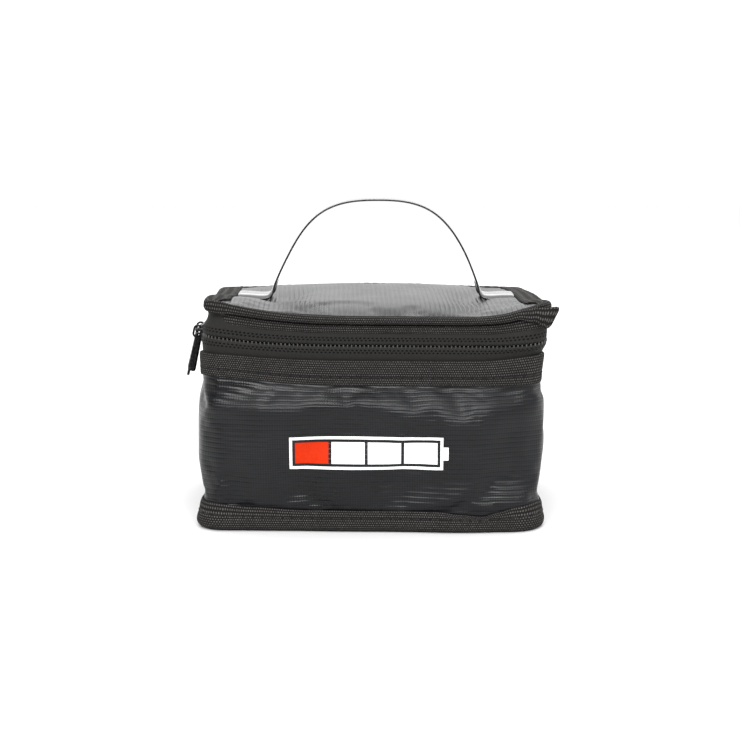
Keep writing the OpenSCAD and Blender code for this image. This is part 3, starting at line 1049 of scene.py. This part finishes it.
def binding_section(s):
    """The lid's tape from its lower edge, over the seam, to its edge on top of the lid."""
    w = side_weight(s)
    low = LID_Z - 7.6
    x, y, nx, ny = around(s)
    wave = 0.15 * sin(s / 6.0) + 0.12 * sin(s / 3.3 + 0.7)
    tuck = 1.3 * hump(past_front(s) + CORNER_S, 9)
    points = profile(s, [
        (-0.3 - tuck, low - 0.1), (0.25 + wave - tuck, low), (0.4 + wave - tuck, low + 1.8),
        (lerp(0.35, 0.8, w) - tuck, low + 3.6), (lerp(-0.3, 1.3, w), low + 4.5),
        (lerp(-0.6, 1.7, w), low + 5.2), (lerp(0.3, 1.9, w), low + 6.1),
        (lerp(1.0, 1.7, w), low + 7.1), (lerp(0.8, 0.9, w), low + 8.0)])
    inner = lerp(2.4, FLAP_W, w)
    over = lerp(0.4, 0.95, w)
    for t, above in ((0.02, over), (0.25, over), (0.5, over), (0.75, over), (0.95, 0.85 * over),
                     (1.0, 0.15)):
        u = -inner * t
        points.append(on_lid(x + nx * u, y + ny * u, above + wave * 0.4))
    return points


# The bead along the front: the seam's raw edge in its folded tape, with a loose end at each
# corner. Station, place outwards, height, half height, half thickness, lean outwards
BEAD = [
    (-78.2, 0.2, 101.0, 0.6, 0.4, 0.0), (-77.4, 0.4, 101.0, 2.2, 1.3, 0.0),
    (-75.0, 0.9, 101.0, 2.9, 1.7, 0.1), (-71.0, 1.5, 101.0, 2.9, 1.7, 0.2),
    (-65.0, 1.9, 101.1, 2.3, 1.5, 0.2), (-55.0, 2.0, 101.3, 1.9, 1.4, 0.1),
    (0.0, 2.0, 101.4, 1.6, 1.35, 0.1), (50.0, 2.0, 101.4, 1.6, 1.35, 0.1),
    (62.0, 2.0, 100.9, 2.0, 1.4, 0.1), (70.0, 1.8, 98.9, 3.2, 1.5, 0.15),
    (75.0, 1.5, 97.0, 4.4, 1.6, 0.25), (77.5, 1.2, 96.3, 5.2, 1.6, 0.45),
    (79.0, 1.1, 96.2, 4.8, 1.3, 0.45), (79.6, 1.1, 96.1, 3.6, 0.6, 0.45),
]


def bead_section(x):
    out, z, half_h, half_t, lean = (
        along([(row[0], row[k]) for row in BEAD], x) for k in range(1, 6))
    z += seam_lift(edge_s("front", x), SEAMS[-1])
    ripple = 0.06 * sin(x * 2 * pi / 0.92)
    ring = []
    for angle in turn(16):
        up, side = cos(angle), sin(angle)
        side = copysign(abs(side) ** 0.8, side)
        px = x + shift(x, -HALF_D, LID_Z) + lean * half_h * up * smooth(x, 55, 80)
        py = -HALF_D - out - (half_t + ripple) * side - 0.15 * half_h * up
        ring.append(Vector((px, py, z + (half_h + ripple) * up)))
    return ring


def lid_binding():
    tape = band("lid_tape", 2.0, binding_section)
    thicken(tape, TAPE_T)
    subdivide(tape)
    dress(tape, "lid", "grosgrain", "grosgrain", "lid_binding")

    bead = sweep("lid_bead", steps(BEAD[0][0], BEAD[-1][0], 0.46), bead_section, ring=True)
    bead.data.flip_normals()
    dress(bead, "lid", "grosgrain", "grosgrain")


# ---------------------------------------------------------------- strap
def strap_path():
    """Centre line of the strap from its left end on the lid, over the arch, to its right end."""
    rise = STRAP_HI.z - STRAP_Z + 0.3
    handles = [Vector(p) for p in ((FOOT_X, 0.9), (SHOULDER_X, rise * 0.83),
                                   (SHOULDER_X * 0.74, rise * 1.006), (0.0, rise))]
    line = [Vector((lerp(-TAIL_X, -FOOT_X - 1.0, i / 8), 0.55)) for i in range(8)]
    for i in range(-40, 41):
        t = 1 - abs(i) / 40
        r = 1 - t
        weights = (r ** 3, 3 * r * r * t, 3 * r * t * t, t ** 3)
        p = sum((h * w for h, w in zip(handles, weights)), Vector((0.0, 0.0)))
        line.append(Vector((copysign(p.x, i) if i else 0.0, p.y)))
    return line + [Vector((lerp(FOOT_X + 1.0, TAIL_X, i / 8), 0.55)) for i in range(1, 9)]


def strap():
    path = strap_path()
    lengths = [0.0]
    for p, q in zip(path, path[1:]):
        lengths.append(lengths[-1] + (q - p).length)
    half = STRAP_W / 2 + 0.2
    across = [-1.0, -0.985, -0.93, -0.86, -0.7, -0.35, 0.0, 0.35, 0.7, 0.86, 0.93, 0.985, 1.0]
    tree = finished_bvh("lid_cloth")

    def lid_top(x):
        """Highest point of the lid's cloth under the strap's width."""
        tops = []
        for k in (-1.0, -0.5, 0.0, 0.5, 1.0):
            start = Vector((x, k * half, LID_Z + 30)) * MM
            hit = tree.ray_cast(start, Vector((0, 0, -1)))[0]
            tops.append(hit.z / MM if hit else LID_Z)
        return max(tops)

    def section(station):
        i = min(range(len(lengths)), key=lambda k: abs(lengths[k] - station))
        p = path[i]
        before, after = path[max(0, i - 1)], path[min(len(path) - 1, i + 1)]
        tangent = (after - before).normalized()
        normal = Vector((-tangent.y, tangent.x))
        x = p.x + shift(p.x, 0.0, LID_Z) + 0.7 * smooth(p.y, 0, 25)
        arch_z = lerp(STRAP_Z - 1.1, LID_Z, smooth(p.y, 0, 20)) + p.y
        flat = 1 - smooth(p.y, 1.0, 5.0)
        level = lerp(arch_z, max(lid_top(x) + 0.55, STRAP_Z - 0.6) + p.y, flat)
        row = []
        for a in across:
            cup = 0.25 * a * a + flat * 1.5 * smooth(abs(a), 0.78, 1.0)
            twist = 0.02 * smooth(-p.x, 6, 30) * smooth(p.y, 2, 12)
            row.append(Vector((x - normal.x * cup + twist * a * half, a * half,
                               level - normal.y * cup)))
        return row

    cloth = sweep("carry_strap", lengths, section)
    thicken(cloth, 0.9, offset=0)
    subdivide(cloth)
    dress(cloth, "lid", "strap", "strap_webbing",
          "handle_strap", "strap_end_left", "strap_end_right",
          blend_to=("handle", (0, 0, STRAP_Z - 0.3), (0, 0, STRAP_Z + 13)))


# ---------------------------------------------------------------- stitches
THREAD_R = 0.26


def capsule(points, faces, at, direction, up, length, radius):
    """Thread lying on a tape, its ends dipping into the needle holes."""
    side = direction.cross(up).normalized()
    rings = []
    for t, grow, sink in ((-0.5, 0.35, -0.35), (-0.38, 0.9, -0.05), (-0.15, 1.0, 0.0),
                          (0.15, 1.0, 0.0), (0.38, 0.9, -0.05), (0.5, 0.35, -0.35)):
        centre = at + direction * (t * length) + up * sink * radius * 2
        rings.append([centre + (side * cos(a) + up * sin(a) * 0.8) * radius * grow
                      for a in turn(6)])
    skin(points, faces, rings)


def hole(points, faces, at, up, radius):
    """Low dimple of a needle hole; its faces take the near-black painted shade of the hole."""
    helper = Vector((0, 0, 1)) if abs(up.z) < 0.8 else Vector((1, 0, 0))
    a = up.cross(helper).normalized()
    b = up.cross(a).normalized()
    start = len(points)
    points.extend(at + (a * cos(angle) + b * sin(angle)) * radius for angle in turn(8))
    points.append(at + up * 0.12)
    faces.extend((start + k, start + (k + 1) % 8, start + 8) for k in range(8))


def stitch_row(name, spots, pitch, hole_r):
    """Row of stitches through the places that spots(s) gives as a point and a direction out."""
    points, faces, mats = [], [], []
    count = round(ROUND / pitch)
    real = ROUND / count
    for i in range(count):
        s = (i + 0.5) * real
        p, up = spots(s)
        q, _ = spots(s + 0.3)
        capsule(points, faces, p, (q - p).normalized(), up, real * 0.78, THREAD_R)
        mats += [0] * (len(faces) - len(mats))
        end, end_up = spots(s + real / 2)
        # The needle hole: a dimple in the second material, painted near black as the shade in the
        # hole.
        hole(points, faces, end + end_up * 0.03, end_up, hole_r)
        mats += [1] * (len(faces) - len(mats))
    obj = make_mesh(name, points, faces, [[(p * 3.0, 0.0) for p in range(len(f))] for f in faces])
    obj.data.polygons.foreach_set("material_index", mats)
    return obj


def spot_on(tree, start, way, missed):
    """Where a ray meets a piece, with its outward normal; missed is the point if it doesn't."""
    hit, normal, _, _ = tree.ray_cast(start * MM, way)
    if hit is None:
        return missed, -way
    return hit / MM, (normal if normal.dot(way) < 0 else -normal)


def finished_bvh(name):
    """Search tree over the final surface of a piece, in metres."""
    done = bpy.data.objects[name].evaluated_get(bpy.context.evaluated_depsgraph_get())
    mesh = done.to_mesh()
    tree = BVHTree.FromPolygons([v.co.copy() for v in mesh.vertices],
                                [tuple(p.vertices) for p in mesh.polygons])
    done.to_mesh_clear()
    return tree


def stitches():
    def from_outside(tree, s, z):
        _, _, nx, ny = around(s)
        return spot_on(tree, place(s, 12, z), Vector((-nx, -ny, 0)), place(s, 1, z))

    def from_above(s):
        x, y, nx, ny = around(s)
        u = -lerp(1.4, FLAP_W - 1.2, side_weight(s))
        x, y = x + nx * u, y + ny * u
        return spot_on(lid_tree, on_lid(x, y, 12), Vector((0, 0, -1)), on_lid(x, y, 1.0))

    rim_tree, base_tree = finished_bvh("rim_band"), finished_bvh("base_tape")
    row = stitch_row("rim_stitches", lambda s: from_outside(rim_tree, s, RIM_LOW + 4.2), 4.6, 0.72)
    dress(row, "pouch", ["thread", "hole"], "thread", "rim_stitching")
    row = stitch_row("base_stitches",
                     lambda s: from_outside(base_tree, s, 7.0 + 0.3 * binding_rise(s)), 4.5, 0.7)
    dress(row, "pouch", ["thread", "hole"], "thread", "base_stitching")
    lid_tree = finished_bvh("lid_tape")
    row = stitch_row("lid_stitches", from_above, 4.5, 0.4)
    dress(row, "lid", ["thread", "hole"], "thread", "lid_stitching")


# ---------------------------------------------------------------- printed sign
def patch(name, mat, node, rectangles, tree):
    """Ink on the wall: rectangles of x and z, laid just over the cloth."""
    points, faces = [], []
    for x0, x1, z0, z1 in rectangles:
        xs, zs = steps(x0, x1, 1.2), steps(z0, z1, 1.2)
        faces += grid_faces(len(xs), len(zs), len(points))
        for z in zs:
            for x in xs:
                hit = tree.ray_cast(Vector((x, -HALF_D - 20, z)) * MM, Vector((0, 1, 0)))[0]
                points.append(Vector((x, (hit.y / MM if hit else -HALF_D) - 0.12, z)))
    ink = make_mesh(name, points, faces, [[(points[k].x, points[k].z) for k in f] for f in faces])
    dress(ink, "pouch", mat, mat + "_ink", node)


def battery_sign():
    """Generic battery sign: an outline with its terminal, three full cells and a low one."""
    tree = finished_bvh("wall_cloth")
    (x0, _, z0), (x1, _, z1) = box_mm("mark_outline")
    line, pole_w, pole_h = 1.3, 2.4, 6.0
    case, middle = x1 - pole_w, (z0 + z1) / 2
    patch("sign_outline", "white", "mark_outline", [
        (x0, case, z0, z0 + line), (x0, case, z1 - line, z1),
        (x0, x0 + line, z0 + line, z1 - line), (case - line, case, z0 + line, z1 - line),
        (case, x1, middle - pole_h / 2, middle + pole_h / 2)], tree)
    low, high = box_mm("mark_low_cell")
    full = box_mm("mark_cells")
    cell_w = high.x - low.x
    pitch = cell_w + (full[0].x - high.x)
    starts = [full[0].x + i * pitch for i in range(3)]
    patch("sign_cells", "white", "mark_cells",
          [(x, x + cell_w, full[0].z, full[1].z) for x in starts], tree)
    patch("sign_low_cell", "red", "mark_low_cell", [(low.x, high.x, low.z, high.z)], tree)


# ---------------------------------------------------------------- sliders and pulls
def extrude(name, outline, place_point, low, high, holes=()):
    """Plate from an outline of points with an optional hole; both faces and all walls."""
    points, faces = [], []
    n, m = len(outline), len(holes)
    for level in (low, high):
        points += [place_point(a, b, level) for a, b in outline]
    for i in range(n):
        j = (i + 1) % n
        faces.append((i, j, n + j, n + i))
    if holes:
        start = len(points)
        for level in (low, high):
            points += [place_point(a, b, level) for a, b in holes]
        for i in range(m):
            j = (i + 1) % m
            faces.append((start + j, start + i, start + m + i, start + m + j))
        for i in range(n):
            j = (i + 1) % n
            quad = [i, j, start + j, start + i]
            faces.append(tuple(quad[::-1]))
            faces.append(tuple(q + n if q < n else q + m for q in quad))
    else:
        faces.append(tuple(range(n))[::-1])
        faces.append(tuple(range(n, 2 * n)))
    return make_mesh(name, points, faces, smooth_faces=False)


def rounded(half_a, half_b, radius, per_corner=5):
    """Outline of a rectangle with rounded corners."""
    pts = []
    for sa, sb, start in ((1, 1, 0), (-1, 1, 90), (-1, -1, 180), (1, -1, 270)):
        for k in range(per_corner):
            angle = radians(start + 90 * k / (per_corner - 1))
            pts.append((sa * (half_a - radius) + radius * cos(angle),
                        sb * (half_b - radius) + radius * sin(angle)))
    return pts


def tube(name, path, radius, sides=10, closed=False):
    """Round bar along a path of points."""
    n = len(path)
    rings = []
    for i, p in enumerate(path):
        before = path[i - 1] if closed or i else path[i]
        after = path[(i + 1) % n] if closed or i < n - 1 else path[i]
        t = (after - before).normalized()
        helper = Vector((0, 1, 0)) if abs(t.y) < 0.9 else Vector((0, 0, 1))
        a = t.cross(helper).normalized()
        b = t.cross(a).normalized()
        rings.append([p + a * cos(angle) * radius + b * sin(angle) * radius
                      for angle in turn(sides)])
    points, faces = [], []
    skin(points, faces, rings, closed)
    return make_mesh(name, points, faces)


def applied(obj):
    """Works out an object's modifiers into its mesh."""
    done = obj.evaluated_get(bpy.context.evaluated_depsgraph_get())
    mesh = bpy.data.meshes.new_from_object(done)
    obj.modifiers.clear()
    obj.data = mesh
    return obj


def bridge_bar(which):
    """Middle of the bar that the pull's link hangs on."""
    low, high = box_mm("slider_" + which)
    link_top = box_mm("pull_link_" + which)[1].z
    return Vector((low.x + 0.6, (low.y + high.y) / 2, link_top - 2.1))


def hang_angle(which):
    """How far the pull hangs out from straight down, from its bar to the tip of its tab."""
    bar, low = bridge_bar(which), box_mm("pull_tab_" + which)[0]
    return atan2(bar.x - low.x - 0.6, bar.z - low.z)


def slider(which):
    node = "slider_" + which
    low, high = box_mm(node)
    mid_y = (low.y + high.y) / 2
    outer_x, inner_x, y_half = -HALF_W - 0.5, high.x - 1.0, 5.5
    parts = []

    def plate(outline, low_x, high_x, edge=0.0, segments=2, y=mid_y, z=ZIP_Z, bow=0.0):
        """Plate that faces sideways, bowed and with its edges rounded if asked."""
        piece = extrude("plate", outline, lambda a, b, c: Vector(
            (c - bow * (a / y_half) ** 2, y + a, z + b)), low_x, high_x)
        if edge:
            bevel(piece, edge, segments)
        parts.append(applied(piece))

    plate(rounded(y_half, 4.0, 2.4, 6), outer_x, outer_x + 1.0, 0.3, 3, bow=0.24)
    plate(rounded(4.5, 3.5, 1.4), inner_x, inner_x + 1.0, 0.25)
    plate(rounded(1.5, 0.33, 0.2, 3), outer_x + 0.5, high.x - 0.5, y=mid_y - 2)
    for side in (-1, 1):
        plate(rounded(4.2, 0.35, 0.2, 3), high.x - 1.9, high.x - 0.4, 0.12, z=ZIP_Z + side * 3.1)
    bar = bridge_bar(which)
    loop = []
    for k in range(17):
        angle = pi * k / 16
        loop.append(Vector((lerp(outer_x + 0.3, bar.x, min(1.0, sin(angle) ** 0.5)),
                            mid_y + 3.3 * cos(angle), bar.z)))
    parts.append(tube("bridge", loop, 0.62, sides=12))
    body = join("slider_body_" + which, parts)
    dress(body, node, "metal", "black_metal", node)


def pull(which):
    bar = bridge_bar(which)
    tab_low = box_mm("pull_tab_" + which)[0]
    angle = hang_angle(which)
    down = Vector((-sin(angle), 0, -cos(angle)))
    out = Vector((-cos(angle), 0, sin(angle)))
    span, r = 2.2, 1.62     # of the link: length between its two round ends, and their radius
    half_turn = [pi * k / 12 for k in range(13)]
    path = [bar + out * r * cos(a) - down * r * sin(a) for a in half_turn]
    path += [bar + down * span - out * r * cos(a) + down * r * sin(a) for a in half_turn]
    link = tube("pull_wire_" + which, path, 0.5, closed=True)
    dress(link, "link_" + which, "metal", "black_metal", "pull_link_" + which)

    eye = bar + down * (span + r)
    tip_len = (eye.z - tab_low.z) / cos(angle) - 0.3
    twist = radians(52 if which == "rear" else 6)
    across = Vector((0, 1, 0)) * cos(twist) + out * sin(twist)
    through = down.cross(across).normalized()
    outline = [(2.0 * cos(a), 2.0 * sin(a)) for a in [pi + pi * k / 8 for k in range(9)]]
    outline += [(1.9, 4.0), (2.2, tip_len - 1.2), (1.9, tip_len - 0.3), (1.2, tip_len),
                (-1.2, tip_len), (-1.9, tip_len - 0.3), (-2.2, tip_len - 1.2), (-1.9, 4.0)]
    eye_hole = [(1.1 * a / hypot(a, b), 1.1 * b / hypot(a, b)) for a, b in outline]
    tab = extrude("pull_tab_metal_" + which, outline,
                  lambda a, b, c: eye + across * a + down * b + through * c, -0.6, 0.6, eye_hole)
    bevel(tab, 0.25, 3)
    dress(tab, "tab_" + which, "metal", "black_metal", "pull_tab_" + which)


# ---------------------------------------------------------------- the scene
look()
studio()
wall_cloth()
wall_inside()
base()
base_binding()
rim()
zip_half(False)
zip_half(True)
hinge()
lid_cloth()
lid_inside()
lid_binding()
strap()
stitches()
battery_sign()
for which in ("front", "rear"):
    slider(which)
    pull(which)
